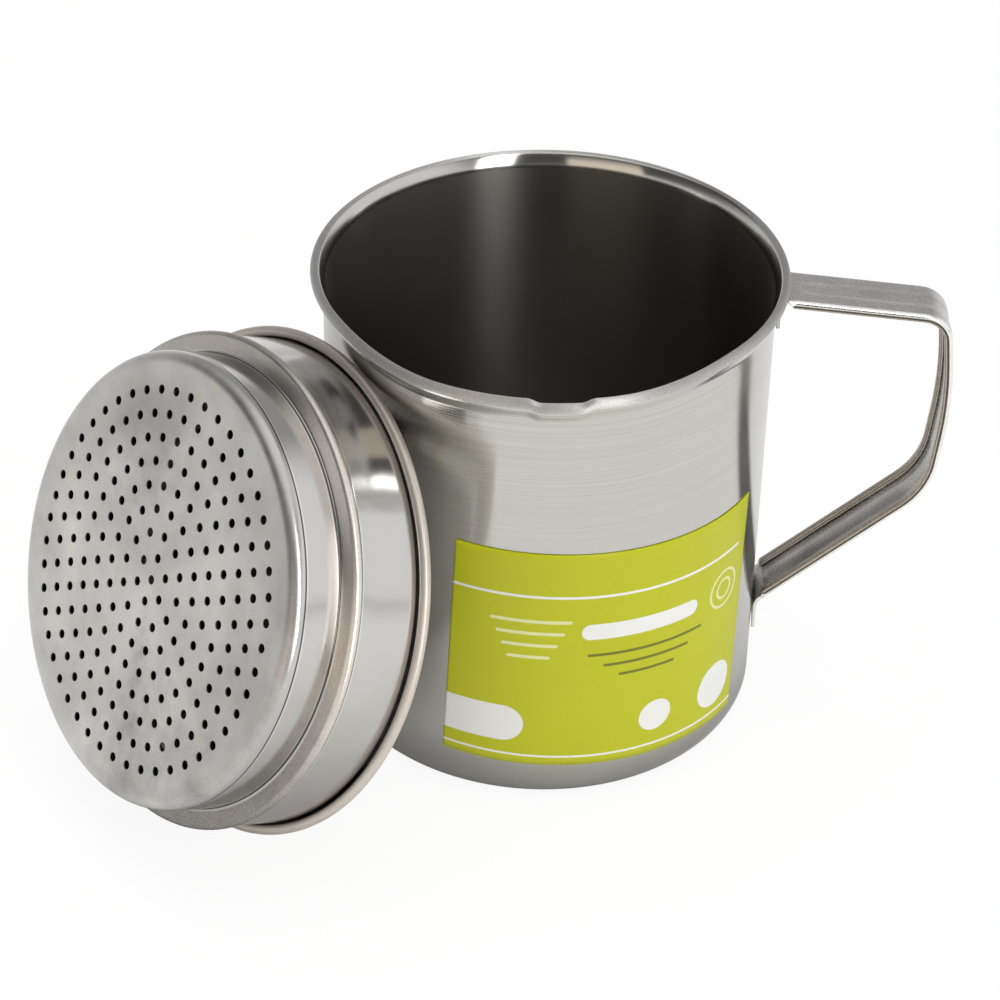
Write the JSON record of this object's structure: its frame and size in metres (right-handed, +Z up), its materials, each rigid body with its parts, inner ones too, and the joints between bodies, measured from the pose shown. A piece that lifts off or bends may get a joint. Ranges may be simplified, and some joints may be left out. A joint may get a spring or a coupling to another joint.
{
  "type": "oil and grease strainer pot",
  "caption": "Steel mug-shaped grease pot with a strip handle and a pouring lip, and a holed strainer basket hinged to its lid, stood leaning beside it.",
  "frame": {"origin": "centre of the mug's flat base", "axes": "+Z up along the mug's axis, +X towards the handle, -Y towards the pouring lip"},
  "size_m": [0.2153, 0.1533, 0.1165],
  "materials": {
    "mug_steel": "satin, fine lines round the body",
    "handle_steel": "satin, lengthwise",
    "label_film": "semi-matt printed film",
    "strainer_steel": "satin disc, bright walls",
    "lid_steel": "bright satin",
    "hinge_steel": "satin"
  },
  "bodies": {
    "mug": {"mug_body": "mug_steel", "handle": "handle_steel", "label": "label_film"},
    "lid": {"lid": "lid_steel", "lid_hinge_leaf": "hinge_steel"},
    "strainer": {"strainer_basket": "strainer_steel", "hinge_bracket": "hinge_steel", "hinge_pin": "hinge_steel"}
  },
  "joints": [
    {"name": "lid_lift_away", "type": "slide", "parent": "mug", "child": "lid", "axis": [-0.7307, -0.5607, 0.3896], "range_m": [0, 0.15]},
    {"name": "strainer_hinge", "type": "hinge", "parent": "lid", "child": "strainer", "pos_m": [-0.10246, 0.0102, 0.05366], "axis": [-0.3091, -0.2372, -0.921], "range_deg": [-0.8, 105]}
  ]
}
